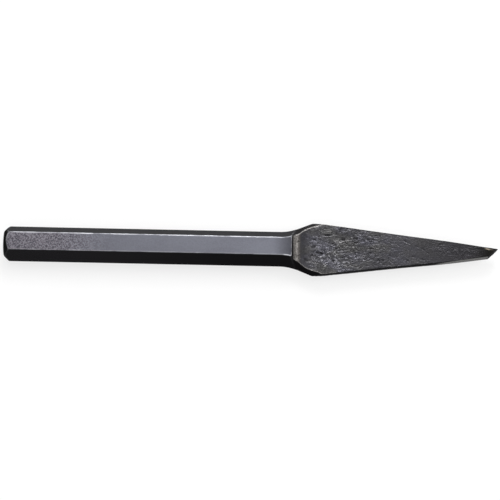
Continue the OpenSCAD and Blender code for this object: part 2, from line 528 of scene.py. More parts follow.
class Flow:
    """The value of a socket. Sums with it add Math nodes to its tree."""

    __add__, __radd__ = sign("ADD"), sign("ADD", True)
    __sub__, __rsub__ = sign("SUBTRACT"), sign("SUBTRACT", True)
    __mul__, __rmul__ = sign("MULTIPLY"), sign("MULTIPLY", True)
    __truediv__, __rtruediv__ = sign("DIVIDE"), sign("DIVIDE", True)
    __pow__, largest, smallest = sign("POWER"), sign("MAXIMUM"), sign("MINIMUM")

    def __init__(self, tree, socket):
        self.tree = tree
        self.socket = socket

    def sum(self, operation, *values):
        return node(self.tree, "ShaderNodeMath", values, operation=operation)

    def __neg__(self):
        return self.sum("MULTIPLY", self, -1.0)

    def __abs__(self):
        return self.sum("ABSOLUTE", self)

    def ease(self, start, end):
        """Runs smoothly from 0 at start to 1 at end, as the function for numbers does."""
        sockets = {"Value": self, "From Min": start, "From Max": end}
        return node(self.tree, "ShaderNodeMapRange", sockets, interpolation_type="SMOOTHSTEP")


def node(tree, kind, sockets=(), out=0, **settings):
    """Adds a node with those settings, and sets or links its sockets."""
    made = tree.nodes.new(kind)
    for name, value in settings.items():
        setattr(made, name, value)
    pairs = sockets.items() if isinstance(sockets, dict) else enumerate(sockets)
    for name, value in pairs:
        if isinstance(value, Flow):
            tree.links.new(value.socket, made.inputs[name])
        else:
            made.inputs[name].default_value = value
    return Flow(tree, made.outputs[out]) if made.outputs else made


def scaled(vector, scale):
    """A vector times a number for each of its directions."""
    return node(vector.tree, "ShaderNodeVectorMath", (vector, scale), operation="MULTIPLY")


def moved(vector, by):
    """A vector moved by another one."""
    return node(vector.tree, "ShaderNodeVectorMath", (vector, by), operation="ADD")


def axis_of(vector, name):
    """One of a vector's three numbers."""
    return node(vector.tree, "ShaderNodeSeparateXYZ", (vector,), name)


def noise(vector, size, detail=2.0, rough=0.5, out=0):
    """Soft noise from 0 to 1. Its lumps are about size, a number or a flow, in the vector's units."""
    sockets = {"Vector": vector, "Scale": 1 / size, "Detail": detail, "Roughness": rough}
    return node(vector.tree, "ShaderNodeTexNoise", sockets, out)


# %% [markdown]
# Each tree of Geometry Nodes is a small machine with named inputs. One helper makes the tree and its
# inputs. Another sets them on a modifier by their identifiers, reads the result off as a plain mesh and
# takes the modifier away.


# %% Make a tree and take its result
SOCKET_KINDS = {float: "NodeSocketFloat", int: "NodeSocketInt", bpy.types.Material: "NodeSocketMaterial"}


def new_tree(name, values):
    """A geometry tree with an input for geometry and for each value. Returns it and them, as flows."""
    tree = bpy.data.node_groups.new(name, "GeometryNodeTree")
    tree.interface.new_socket("Geometry", in_out="INPUT", socket_type="NodeSocketGeometry")
    for label, value in values.items():
        tree.interface.new_socket(label, in_out="INPUT", socket_type=SOCKET_KINDS[type(value)])
    tree.interface.new_socket("Geometry", in_out="OUTPUT", socket_type="NodeSocketGeometry")
    entry = tree.nodes.new("NodeGroupInput")
    return tree, {socket.name: Flow(tree, socket) for socket in entry.outputs if socket.name}


def end_tree(geometry, material):
    """Ends a tree with what the export needs: real geometry, and its material."""
    tree = geometry.tree
    real = node(tree, "GeometryNodeRealizeInstances", {"Geometry": geometry})
    dressed = node(tree, "GeometryNodeSetMaterial", {"Geometry": real, "Material": material})
    node(tree, "NodeGroupOutput", {"Geometry": dressed})


def run_tree(piece, tree, values):
    """Runs a tree on a piece and returns its result as a plain mesh."""
    modifier = piece.modifiers.new(tree.name, "NODES")
    modifier.node_group = tree
    for socket in tree.interface.items_tree:
        if socket.in_out == "INPUT" and socket.name in values:
            modifier[socket.identifier] = values[socket.name]
    shown = piece.evaluated_get(bpy.context.evaluated_depsgraph_get())
    mesh = bpy.data.meshes.new_from_object(shown)
    piece.modifiers.remove(modifier)
    return mesh


def add_piece(name, data):
    """An object with that mesh, light or lens, in the scene."""
    piece = bpy.data.objects.new(name, data)
    bpy.context.scene.collection.objects.link(piece)
    return piece


# %% [markdown]
# ## The finishes
#
# Black oxide is thin and takes the character of the steel under it. The drawn bar shows satin flats,
# mottled like orange peel near the head. The forging is matt, pitted and a little blue and purple from
# the heat. The belly was ground after the oxide and shows steel. All of it behaves like a very dark
# metal that is part matt: Metallic says how much of it mirrors, and a metal's Specular Tint says how
# much less it does so at a glancing angle than polish would.

# %% What every finish shares
FACE_METAL = 0.65
GLANCING_TINT = (0.7, 0.7, 0.71, 1.0)
PER_MM = (1 / MM, 1 / MM, 1 / MM)
# The Mix node's own numbers for the sockets of its two colours and of their blend
MIX_FIRST, MIX_SECOND, MIX_RESULT = 6, 7, 2


def steel_material(name):
    """A dark metal. Returns it, its shader and Object coordinates in millimetres from the struck end."""
    material = bpy.data.materials.new(name)
    material.use_nodes = True
    tree = material.node_tree
    shader = tree.nodes["Principled BSDF"]
    shader.inputs["Specular IOR Level"].default_value = 0.0
    shader.inputs["Specular Tint"].default_value = GLANCING_TINT
    place = node(tree, "ShaderNodeTexCoord", (), "Object")
    from_start = moved(place, (-START_X, 0.0, -AXIS_Z))
    return material, shader, scaled(from_start, PER_MM)


def blend(factor, first, second):
    """A colour between two colours."""
    sockets = {"Factor": factor, MIX_FIRST: first, MIX_SECOND: second}
    return node(factor.tree, "ShaderNodeMix", sockets, MIX_RESULT, data_type="RGBA")


def between(factor, first, second):
    """A number between two numbers."""
    return first + (second - first) * factor


def point_value(tree, name):
    """A number that the mesh keeps on its points."""
    return node(tree, "ShaderNodeAttribute", (), "Fac", attribute_name=name)


def streaked(place, share, size, detail=2.0, rough=0.5):
    """Noise drawn out along the tool, where a length counts only for that share."""
    return noise(scaled(place, (share, 1.0, 1.0)), size, detail, rough)


def feed(shader, flows):
    """Links flows to a shader's sockets by their names."""
    for name, flow in flows.items():
        flow.tree.links.new(flow.socket, shader.inputs[name])


def bumped(height, distance):
    """A normal that follows a height from 0 to 1, distance metres high."""
    return node(height.tree, "ShaderNodeBump", {"Distance": distance, "Height": height})


# %% [markdown]
# The two flats that lie level shine a little more than the four that slope, which carry painted shade:
# grey where they face back or down, black where they look up and towards the belly. The finish knows
# them by how far a point is from the axis plane. The shoulder starts with the same finish, so both
# materials call one function.

# %% Finish of the drawn bar
FLAT_DARK = (0.06, 0.056, 0.067, 1.0)
FLAT_LIGHT = (0.144, 0.15, 0.176, 1.0)
FLAT_PLUM = (0.165, 0.156, 0.178, 1.0)
# Painted shade on the sloping sides that look up and towards the belly
SIDE_PAINTED_SHADE = (0.0055, 0.0053, 0.0058, 1.0)
# Painted shade on the head's chamfer
CHAMFER_PAINTED_SHADE = (0.003, 0.0029, 0.0031, 1.0)
STRUCK_GREY = (0.1, 0.1, 0.106, 1.0)
# Painted shade on those sides near the head, a little lighter
HEAD_SIDE_SHADE = (0.0115, 0.011, 0.0122, 1.0)
# Painted shade on the other sloping sides, grey
SIDE_GREY_SHADE = (0.034, 0.034, 0.036, 1.0)
# Bare steel on the edges, and a painted highlight there, brighter on the back side
BARE_EDGE_HIGHLIGHT = (0.8, 0.81, 0.86, 1.0)
FLAT_ROUGH = 0.36
SIDE_ROUGH = 0.5
SIDE_METAL = 0.28
# How much the sides painted black as shade mirror
SHADED_SIDE_METAL = 0.8
BAR_BUMP = 0.026 * MM
STEP_SHADE = 0.5
RISE_SHARE = 0.5
CLOUD_SHARE = 0.4
FAR_MOTTLE = 0.14
HEAD_MOTTLE = 1.54
FAR_PEEL = 0.2
STRUCK_LEAST = 0.4
WEAR_POWER = 1.4
UNSCUFFED_WEAR = 0.2
# How much of the edges' painted highlight the belly's side keeps
BELLY_WEAR_HIGHLIGHT = 0.25
LOW_WEAR = 0.3
HEAD_WEAR = 0.4
# Each noise: how much a length along the tool counts, the size of its lumps in mm, detail, roughness
PEEL = (1.0, 0.42, 4.0, 0.7)
CLOUDS = (0.4, 5.0, 3.0)
SCUFFS = (0.25, 1.1, 4.0, 0.7)
PEEL_RANGE = (0.38, 0.62)
SCUFF_RANGE = (0.36, 0.64)
# Where something starts and where it is complete, in millimetres up from the axis plane
LEVEL_BAND = (BAR_APOTHEM / MM - 0.12, BAR_APOTHEM / MM - 0.03)
UPPER_BAND = (3.9, 4.5)
UNDER_AXIS = (0.1, -0.1)
# The same, across the tool
PAST_AXIS = (-1.0, 1.0)
BACK_SIDE = (-0.5, 1.0)
# The same, from the struck end
FACE_END = (0.3, 0.22)
CHAMFER_END = (1.2, 1.8)
HEAD_START = (1.2, 2.0)
HEAD_END = (80.0, 20.0)
WEAR_START = (1.8, 3.0)
MOTTLE_END = (12.0, 36.0)
RISE = (-70.0, 85.0)
STEP_SHADOW = (82.5, 88.5)
FLAT_END = (85.5, 87.0)


def grey_side(y, z):
    """1 on sides painted grey as shade, 0 on those facing up and to the belly, painted black as shade."""
    return y.ease(*PAST_AXIS).largest(z.ease(*UNDER_AXIS))


def drawn_bar(place, crease):
    """Colour, roughness, metal, peel: satin flats, painted shade on sides, bare edges with painted
    highlight.
    """
    s, y, z = (axis_of(place, name) for name in "XYZ")
    level = abs(z).ease(*LEVEL_BAND)
    near_head = 1 - s.ease(*MOTTLE_END)
    peel = streaked(place, *PEEL).ease(*PEEL_RANGE)
    clouds = streaked(place, *CLOUDS)
    mottle = (peel - 0.5) * between(near_head, FAR_MOTTLE, HEAD_MOTTLE)
    light = (s.ease(*RISE) * RISE_SHARE + clouds * CLOUD_SHARE + mottle).largest(0.0).smallest(1.0)
    flat_colour = blend(light, FLAT_DARK, blend(near_head, FLAT_LIGHT, FLAT_PLUM))
    flat_colour = blend(s.ease(*STEP_SHADOW) * STEP_SHADE, flat_colour, SIDE_PAINTED_SHADE)
    # Painted shade on the sloping sides, black, a little lighter near the head
    painted_shade_colour = blend(s.ease(*HEAD_START) * s.ease(*HEAD_END), SIDE_PAINTED_SHADE, HEAD_SIDE_SHADE)
    side_colour = blend(grey_side(y, z), painted_shade_colour, SIDE_GREY_SHADE)
    # The chamfer gets painted shade
    side_colour = blend(s.ease(*CHAMFER_END), CHAMFER_PAINTED_SHADE, side_colour)
    colour = blend(level, side_colour, flat_colour)
    colour = blend(s.ease(*FACE_END) * between(peel, STRUCK_LEAST, 1.0), colour, STRUCK_GREY)
    scuffs = streaked(place, *SCUFFS).ease(*SCUFF_RANGE)
    # Edges scuffed bare, with a painted highlight that is strongest on the back side and at the level
    # flats' far end
    facing = between(y.ease(*BACK_SIDE), BELLY_WEAR_HIGHLIGHT, 1.0).largest(s.ease(*FLAT_END) * level)
    edge_wear_highlight = crease ** WEAR_POWER * between(scuffs, UNSCUFFED_WEAR, 1.0) * facing
    edge_wear_highlight = edge_wear_highlight * between(abs(z).ease(*UPPER_BAND), LOW_WEAR, 1.0)
    edge_wear_highlight = edge_wear_highlight * between(s.ease(*WEAR_START), HEAD_WEAR, 1.0)
    rough = between(level, SIDE_ROUGH, FLAT_ROUGH)
    metal = between(grey_side(y, z), SHADED_SIDE_METAL, SIDE_METAL)
    metal = between(level.largest(edge_wear_highlight), metal, FACE_METAL)
    colour = blend(edge_wear_highlight.smallest(1.0), colour, BARE_EDGE_HIGHLIGHT)
    return colour, rough, metal, peel * between(near_head, FAR_PEEL, 1.0)


def bar_material():
    """The finish of the head and the shank."""
    material, shader, place = steel_material("oxide_on_drawn_bar")
    colour, rough, metal, peel = drawn_bar(place, point_value(material.node_tree, "crease"))
    normal = bumped(peel, BAR_BUMP)
    feed(shader, {"Base Color": colour, "Roughness": rough, "Metallic": metal, "Normal": normal})
    return material


# %% [markdown]
# The forging's finish reads how deep each point was pressed, so that hollows stay sooty and high
# spots catch the light; ridge tops are lighter where scale came off, and carry a painted highlight too.
# The step's wall carries painted shade, and a warm, sand-coloured band at its foot is a painted
# highlight. The facets beside the wide faces are smooth and painted dark as shade, black where they
# look up and towards the belly.

# %% Finish of the forging
FORGED_LOW = (0.017, 0.0167, 0.0182, 1.0)
FORGED_BLUE = (0.082, 0.081, 0.096, 1.0)
FORGED_WARM = (0.083, 0.0815, 0.0815, 1.0)
# Lighter ridge tops where scale came off, and a painted highlight on them
RUBBED_HIGHLIGHT = (0.32, 0.315, 0.33, 1.0)
# Painted shade on the facets beside the wide faces
FORGED_FACET_SHADE = (0.02, 0.0195, 0.0203, 1.0)
# Painted highlight: a warm band at the foot of the step
STEP_SAND_HIGHLIGHT = (0.2, 0.19, 0.18, 1.0)
# Painted shade on the wall of the step
STEP_PAINTED_SHADE = (0.02, 0.019, 0.02, 1.0)
FOOT_BROWN = (0.045, 0.041, 0.04, 1.0)
NOSE_DARK = (0.026, 0.0252, 0.0275, 1.0)
TIP_BROWN = (0.009, 0.0086, 0.008, 1.0)
TIP_GLINT = (0.36, 0.31, 0.24, 1.0)
# Bare steel along the wide faces' edges, and a painted highlight there
FORGED_EDGE_HIGHLIGHT = (0.5, 0.48, 0.47, 1.0)
GROUND_STEEL = (0.1, 0.0975, 0.094, 1.0)
FORGED_ROUGH = 0.27
FORGED_SIDE_METAL = 0.1
GROUND_METAL = 0.5
FORGED_BUMP = 0.055 * MM
ROUGH_SPAN = 0.1
GRAIN_SHARE = 1.1
DENT_SHADE = 0.5
DENT_RUB = 0.8
RUBBED_FIRST = 0.8
RUBBED_LATER = 0.3
SAND_LEAST = 0.2
WORN_POWER = 1.8
WORN_LEAST = 0.6
# How much of that painted highlight the belly's side keeps
BELLY_EDGE_HIGHLIGHT = 0.35
HEAT = (0.6, 3.2)
GRAIN = (0.8, 0.5, 5.0, 0.75)
HEAT_RANGE = (0.3, 0.7)
RAISED_RANGE = (-0.1, 0.8)
RUBBED_RANGE = (0.64, 0.9)
SAND_RANGE = (0.4, 0.56)
WORN_RANGE = (0.38, 0.56)
# Where something starts and where it is complete, in millimetres from the struck end
FOOT = FOOT_S / MM
SIDE_START = (FOOT - 3.0, FOOT)
STEP_WALL_SHADE = (FOOT - 1.2, FOOT - 1.5)
SAND_START = (FOOT - 1.6, FOOT - 1.2)
SAND_END = (FOOT + 1.1, FOOT - 0.7)
WORN_START = (FOOT - 1.0, FOOT - 0.5)
WORN_END = (106.0, 99.0)
FORGED_START = (FOOT - 1.0, FOOT)
FOOT_DARKENING = (FOOT + 1.5, FOOT + 0.2)
NOSE_DARKENING = (98.0, 146.0)
RUBBED_FADE = (104.0, 125.0)
RUBBED_END = (142.0, 132.0)
TIP_DARKENING = (143.0, 150.0)
GLINT_START = (147.8, 149.2)
# The same, across the tool
GLINT_SIDE = (0.5, 1.0)


def forged_material(name):
    """Matt, pitted oxide that darkens towards the nose and shows steel where the belly is ground."""
    material, shader, place = steel_material(name)
    tree = material.node_tree
    s, y, z = (axis_of(place, axis) for axis in "XYZ")
    crease, wide, rim, ground, relief, dent = (
        point_value(tree, mark) for mark in ("crease", "wide", "rim", "ground", "relief", "dent")
    )
    bar_colour, bar_rough, bar_metal, bar_peel = drawn_bar(place, crease)
    heat = streaked(place, *HEAT).ease(*HEAT_RANGE)
    grain = streaked(place, *GRAIN)
    raised = (relief + (grain - 0.5) * GRAIN_SHARE - dent * DENT_SHADE).ease(*RAISED_RANGE)
    # Ridge tops: scale scuffed off, and a painted highlight on them
    rubbed_highlight = (relief - dent * DENT_RUB).ease(*RUBBED_RANGE) * s.ease(*RUBBED_END)
    rubbed_highlight = rubbed_highlight * between(s.ease(*RUBBED_FADE), RUBBED_FIRST, RUBBED_LATER)
    # Painted highlight on a sand-coloured band at the foot of the step
    sand_highlight = s.ease(*SAND_START) * s.ease(*SAND_END) * between(grain.ease(*SAND_RANGE), SAND_LEAST, 1.0)
    face = blend(raised, FORGED_LOW, blend(heat, FORGED_WARM, FORGED_BLUE))
    for share, tone in (
        (s.ease(*NOSE_DARKENING), NOSE_DARK),
        (rubbed_highlight, RUBBED_HIGHLIGHT),
        # darker towards the tip
        (s.ease(*TIP_DARKENING), TIP_BROWN),
        # darker just past the foot of the step
        (s.ease(*FOOT_DARKENING), FOOT_BROWN),
        # painted highlight at the foot of the step
        (sand_highlight, STEP_SAND_HIGHLIGHT),
        # painted shade on the step's wall
        (s.ease(*STEP_WALL_SHADE), STEP_PAINTED_SHADE),
    ):
        face = blend(share, face, tone)
    # The facets beside the wide faces get painted shade, black where they look up and towards the belly
    side = blend(grey_side(y, z), SIDE_PAINTED_SHADE, FORGED_FACET_SHADE)
    colour = blend(wide, blend(s.ease(*SIDE_START), bar_colour, side), face)
    # Edges of the wide faces scuffed bare, with a painted highlight, strongest on the back side
    worn_edge_highlight = rim ** WORN_POWER * s.ease(*WORN_START) * s.ease(*WORN_END)
    worn_edge_highlight = worn_edge_highlight * between(y.ease(*BACK_SIDE), BELLY_EDGE_HIGHLIGHT, 1.0)
    worn_edge_highlight = worn_edge_highlight * between(grain.ease(*WORN_RANGE), WORN_LEAST, 1.0)
    glint = crease * s.ease(*GLINT_START) * y.ease(*GLINT_SIDE)
    for share, tone in ((worn_edge_highlight, FORGED_EDGE_HIGHLIGHT), (glint, TIP_GLINT), (ground, GROUND_STEEL)):
        colour = blend(share, colour, tone)
    forged = s.ease(*FORGED_START)
    rough = FORGED_ROUGH + (0.5 - raised) * ROUGH_SPAN
    metal = between(ground, between(wide, FORGED_SIDE_METAL, FACE_METAL), GROUND_METAL)
    rough, metal = between(forged, bar_rough, rough), between(forged, bar_metal, metal)
    normal = bumped(between(forged, bar_peel, grain), FORGED_BUMP)
    feed(shader, {"Base Color": colour, "Roughness": rough, "Metallic": metal, "Normal": normal})
    return material


bar_steel = bar_material()
forged_steel = forged_material("oxide_on_forging")
nose_steel = forged_material("oxide_on_nose")
print("finishes:", [material.name for material in (bar_steel, forged_steel, nose_steel)])

# %% [markdown]
# ## Ripples of the forging
#
# A face that was hammered hot has broad waves, sharp little ridges where scale folded in, scattered
# pits and a fine grain. Geometry Nodes press all four into the skin, inwards along its normals, because
# ripples that stood proud would make the tool thicker than it was measured.

# %% The tree that ripples a forged skin
RIPPLES = {
    "Wave Height": 0.12 * MM,
    "Wave Size": 4.5,
    "Ridge Height": 0.17 * MM,
    "Ridge Size": 0.95,
    "Patch Size": 3.2,
    "Pit Depth": 0.12 * MM,
    "Pit Size": 1.1,
    "Grain Height": 0.06 * MM,
    "Grain Size": 0.5,
    "Seed": 7.3,
    "Steel": forged_steel,
}
STRETCH = (0.5, 1.0, 1.0)
WOBBLE_SIZE = 2.5
WOBBLE = (1.6, 1.6, 1.6)
RIDGE_SHARPNESS = 4.5
PATCH_RANGE = (0.3, 0.58)
PATCH_LEAST = 0.15
FOLD_ROUGH = 0.55
GRAIN_ROUGH = 0.6
PIT_RANGE = (0.12, 0.42)
PIT_CHOICE = (0.6, 0.75)
SIDE_SHARE = 0.3
CALM_SHARE = 0.65
CALM_LIFTED = 0.6
SHALLOWER = 0.3
# Where something starts and where it is complete, in millimetres from the struck end
WAIST = WAIST_S / MM
NOSE = NOSE_S / MM
POINT = OVERALL_L / MM
RIPPLE_START = (FOOT - 1.6, FOOT + 0.4)
RIPPLE_END = (POINT - 4.5, POINT - 3)
RIDGE_START = (FOOT + 1.5, FOOT + 7)
CALM_START = (WAIST - 8, WAIST + 6)
CALM_END = (NOSE + 3, NOSE + 9)
FIRST_SHALLOWER = (NOSE - 12, NOSE)
THEN_SHALLOWER = (NOSE + 12, POINT - 6)


def kept_number(tree, name):
    """A number that the mesh keeps on its points, for a tree of Geometry Nodes."""
    return node(tree, "GeometryNodeInputNamedAttribute", {"Name": name}, data_type="FLOAT")


def keep_number(geometry, name, value):
    """Geometry that keeps a number on its points."""
    sockets = {"Geometry": geometry, "Name": name, "Value": value}
    return node(geometry.tree, "GeometryNodeStoreNamedAttribute", sockets, data_type="FLOAT")


def pressed_in(geometry, depth):
    """Geometry whose points are moved inwards along their normals."""
    normal = node(geometry.tree, "GeometryNodeInputNormal")
    sockets = {"Vector": normal, "Scale": -depth}
    offset = node(geometry.tree, "ShaderNodeVectorMath", sockets, operation="SCALE")
    return node(geometry.tree, "GeometryNodeSetPosition", {"Geometry": geometry, "Offset": offset})


def ripple_tree(values):
    """Presses waves, ridges, pits and grain into a skin, and keeps how high each point is left."""
    tree, given = new_tree("forged_ripples", values)
    place = node(tree, "GeometryNodeInputPosition")
    shift = node(tree, "ShaderNodeCombineXYZ", [given["Seed"]] * 3)
    spot = moved(scaled(place, PER_MM), shift)
    spot = moved(scaled(spot, STRETCH), scaled(noise(spot, WOBBLE_SIZE, 1.0, 0.5, "Color"), WOBBLE))
    waves = 1 - noise(spot, given["Wave Size"], 1.0)
    folds = noise(spot, given["Ridge Size"], 2.0, FOLD_ROUGH)
    patches = noise(spot, given["Patch Size"], 1.0).ease(*PATCH_RANGE)
    s = (axis_of(place, "X") - START_X) / MM
    calm = s.ease(*CALM_START) - CALM_LIFTED * s.ease(*CALM_END)
    spread = s.ease(*RIDGE_START) * (1 - CALM_SHARE * calm)
    from_fold = (abs(2 * folds - 1) * RIDGE_SHARPNESS).smallest(1.0)
    ridges = 1 - (1 - from_fold) * between(patches, PATCH_LEAST, 1.0) * spread
    cells = {"Vector": spot, "Scale": 1.0 / given["Pit Size"]}
    pit = 1 - node(tree, "ShaderNodeTexVoronoi", cells).ease(*PIT_RANGE)
    chosen = axis_of(node(tree, "ShaderNodeTexVoronoi", cells, "Color"), "X").ease(*PIT_CHOICE)
    grain = 1 - noise(spot, given["Grain Size"], 2.0, GRAIN_ROUGH)
    to_nose = 1 - SHALLOWER * s.ease(*FIRST_SHALLOWER) - SHALLOWER * s.ease(*THEN_SHALLOWER)
    along = s.ease(*RIPPLE_START) * to_nose * (1 - s.ease(*RIPPLE_END))
    wide, ground = (kept_number(tree, name) for name in ("wide", "ground"))
    amount = along * between(wide, SIDE_SHARE, 1.0) * (1 - ground)
    pressed = waves * given["Wave Height"] + ridges * given["Ridge Height"]
    pressed = (pressed + pit * chosen * given["Pit Depth"] + grain * given["Grain Height"]) * amount
    deepest = given["Ridge Height"] + given["Grain Height"] + given["Wave Height"]
    kept = keep_number(given["Geometry"], "relief", 1 - (pressed / deepest).smallest(1.0))
    end_tree(pressed_in(kept, pressed), given["Steel"])
    return tree


# %% [markdown]
# The whole forged end is rippled as one open skin, so that nothing shows where one zone ends and the
# next one starts. Only then is it parted.


# %% Ripple the forged end
# The numbers of a ring's points, and for each the number of the next point round
ROW = np.arange(AROUND)
AFTER = (ROW + 1) % AROUND


def side_faces(count):
    """The four-sided faces that join each ring of a skin to the next."""
    ring = np.arange(count - 1)[:, None] * AROUND
    corners = (ring + ROW, ring + AFTER, ring + AROUND + AFTER, ring + AROUND + ROW)
    return np.stack(corners, axis=2).reshape(-1, 4)


def set_point_values(mesh, values):
    """Keeps named numbers on a mesh's points."""
    for name, value in values.items():
        kept = mesh.attributes.new(name, "FLOAT", "POINT")
        kept.data.foreach_set("value", value.astype(np.float32).ravel())


def read_points(mesh):
    """A mesh's points as rings."""
    flat = np.zeros(len(mesh.vertices) * 3, np.float32)
    mesh.vertices.foreach_get("co", flat)
    return flat.reshape(-1, AROUND, 3).astype(float)


def in_frame(rings):
    """Rings moved from the drawing, whose axis starts at zero, to the model's frame."""
    return rings + [START_X, 0, AXIS_Z]


open_mesh = bpy.data.meshes.new("open_skin")
open_points = in_frame(forged_skin)
open_mesh.from_pydata(open_points.reshape(-1, 3).tolist(), [], side_faces(len(open_points)).tolist())
open_mesh.shade_smooth()
set_point_values(open_mesh, marked)
open_skin = add_piece("open_skin", open_mesh)
rippled_mesh = run_tree(open_skin, ripple_tree(RIPPLES), RIPPLES)
forged_points = read_points(rippled_mesh)
relief = np.zeros(len(rippled_mesh.vertices), np.float32)
rippled_mesh.attributes["relief"].data.foreach_get("value", relief)
marked["relief"] = relief.reshape(-1, AROUND)
bpy.data.objects.remove(open_skin)
print("ripples press in up to", round(np.abs(forged_points - open_points).max() / MM, 3), "mm")

# %% [markdown]
# ## Part the skin into zones
#
# Each zone becomes a closed piece: its stretch of rings, and an end on each side. Neighbours have to be
# shaded alike where they meet, so the normals are worked out on the whole skin first, and the ends get
# the normal of their plane.


# %% Normals of a whole skin
def skin_normals(points):
    """Outward normals of a skin of rings."""
    along = np.gradient(points, axis=0)
    around = np.roll(points, -1, axis=1) - np.roll(points, 1, axis=1)
    normal = np.cross(around, along)
    return normal / np.linalg.norm(normal, axis=2)[..., None]


# %% Close a stretch of rings
BACKWARDS = (-1, 0, 0)
FORWARDS = (1, 0, 0)
BEVEL_SHARES = (0.985, 0.95, 0.88, 0.78, 0.64, 0.48, 0.32, 0.16)


def closed_piece(name, points, normals, values, end_normal=FORWARDS, end_shares=(), round_start=False):
    """A closed piece over some rings. Smaller rings, as shares of the last one, fill its end."""
    end_middle = points[-1].mean(0)
    steps = [end_middle + (points[-1] - end_middle) * share for share in end_shares]
    stack = np.array(list(points) + steps)
    first_middle = len(stack) * AROUND
    top = first_middle - AROUND
    sides = side_faces(len(stack))
    start = np.stack([AFTER, ROW, np.full(AROUND, first_middle)], axis=1)
    end = np.stack([top + ROW, top + AFTER, np.full(AROUND, first_middle + 1)], axis=1)
    everything = np.vstack([stack.reshape(-1, 3), points[0].mean(0), end_middle])
    mesh = bpy.data.meshes.new(name)
    mesh.from_pydata(everything.tolist(), [], sides.tolist() + start.tolist() + end.tolist())
    mesh.shade_smooth()
    skin_corners = sides[: (len(points) - 1) * AROUND].ravel()
    start_normals = np.tile(BACKWARDS, (start.size, 1)).astype(float)
    if round_start:
        start_normals[0::3] = normals[0][AFTER]
        start_normals[1::3] = normals[0]
    corners = (
        normals.reshape(-1, 3)[skin_corners],
        np.tile(end_normal, (sides.size - skin_corners.size, 1)),
        start_normals,
        np.tile(end_normal, (end.size, 1)),
    )
    mesh.normals_split_custom_set(np.vstack(corners).tolist())
    added = np.zeros(len(everything) - len(points) * AROUND)
    set_point_values(mesh, {key: np.concatenate([value.ravel(), added]) for key, value in values.items()})
    return add_piece(name, mesh)


def zone(name, first_s, last_s, *ending):
    """The closed piece for one zone of the forged end."""
    first = np.abs(stations - first_s).argmin()
    last = np.abs(stations - last_s).argmin() + 1
    values = {key: value[first:last] for key, value in marked.items()}
    return closed_piece(name, forged_points[first:last], forged_normals[first:last], values, *ending)


forged_normals = skin_normals(forged_points)
bevel_normal = (math.sin(BEVEL), -math.cos(BEVEL), 0)
shoulder = zone("shoulder_skin", FLARE_S, BLADE_S)
blade = zone("blade_skin", BLADE_S, NOSE_S)
nose = zone("nose_skin", NOSE_S, LAST_S, bevel_normal, BEVEL_SHARES)
head_points = in_frame(head_skin)
head_values = {"crease": head_crease}
head = closed_piece("head_skin", head_points, skin_normals(head_points), head_values, round_start=True)
closed = {head: bar_steel, shoulder: forged_steel, blade: forged_steel, nose: nose_steel}
for piece, steel in closed.items():
    piece.data.materials.append(steel)
print([(piece.name, len(piece.data.polygons)) for piece in closed])

# %% [markdown]
# ## The shank
#
# Between the head and the shoulder the steel keeps one section. That is a rule that Geometry Nodes draw
# best: a straight line carries the section along, and long, low waves, as drawing leaves in a bar, die
# out towards both ends so that the shank meets its neighbours exactly.

# %% The tree that carries a section along
SHANK = {
    "From": START_X + HEAD_L,
    "To": START_X + FLARE_S,
    "Axis Height": AXIS_Z,
    "Apothem": BAR_APOTHEM,
    "Rings": 150,
    "Wave Height": 0.02 * MM,
    "Wave Size": 4.0,
    "Seed": 3.1,
    "Steel": bar_steel,
}
WAVE_FADE = 3 * MM
WAVE_STRETCH = (0.35 / MM, 1 / MM, 1 / MM)


def shank_tree(values):
    """Carries a section along a line, with low waves, and marks its edges."""
    tree, given = new_tree("drawn_bar", values)
    section = node(tree, "GeometryNodeMeshToCurve", (given["Geometry"],))
    first, last = given["From"], given["To"]
    height = given["Axis Height"]
    start, end = (node(tree, "ShaderNodeCombineXYZ", (x, 0.0, height)) for x in (first, last))
    line = node(tree, "GeometryNodeCurvePrimitiveLine", {"Start": start, "End": end})
    line = node(tree, "GeometryNodeResampleCurve", {"Curve": line, "Count": given["Rings"]})
    sockets = {"Curve": line, "Profile Curve": section, "Fill Caps": True}
    bar = node(tree, "GeometryNodeCurveToMesh", sockets)
    place = node(tree, "GeometryNodeInputPosition")
    x, y, z = (axis_of(place, name) for name in "XYZ")
    up = abs(z - height)
    level, slope = up - given["Apothem"], up * SIN_30 + abs(y) * COS_30 - given["Apothem"]
    crease = (1 - abs(level - slope) / WEAR_WIDTH).largest(0.0)
    inner = x.ease(first, first + WAVE_FADE) * x.ease(last, last - WAVE_FADE)
    shift = node(tree, "ShaderNodeCombineXYZ", (given["Seed"], 0.0, 0.0))
    spot = moved(scaled(place, WAVE_STRETCH), shift)
    waves = (1 - noise(spot, given["Wave Size"], 1.0)) * given["Wave Height"] * inner
    end_tree(pressed_in(keep_number(bar, "crease", crease), waves), given["Steel"])
    return tree


# %% Carry the head's last ring along the shank
section_mesh = bpy.data.meshes.new("section")
# Along a line in the direction of X, Curve to Mesh lays a section's x along -Y and its y along -Z
section_points = [(-y, -z, 0) for _, y, z in head_skin[-1]]
section_mesh.from_pydata(section_points, np.stack([ROW, AFTER], axis=1).tolist(), [])
section = add_piece("section", section_mesh)
shank = add_piece("shank_skin", run_tree(section, shank_tree(SHANK), SHANK))
bpy.data.objects.remove(section)
print("shank from", round(shank.bound_box[0][0], 4), "to", round(shank.bound_box[6][0], 4))

# %% [markdown]
# ## Dress the measured model
#
# Each new piece takes the place of one measured zone, which is hidden.
# All five ride on the one body that the tool is.

# %% Hand the pieces over
DRESSED = (
    (head, "struck_head", "bar_finish"),
    (shank, "hex_shank", "bar_finish"),
    (shoulder, "shoulder", "forged_finish"),
    (blade, "blade", "forged_finish"),
    (nose, "nose", "ground_finish"),
)
for piece, cad_node, slot in DRESSED:
    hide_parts(cad_node)
    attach(piece, "root")
print(len(DRESSED), "zones dressed")

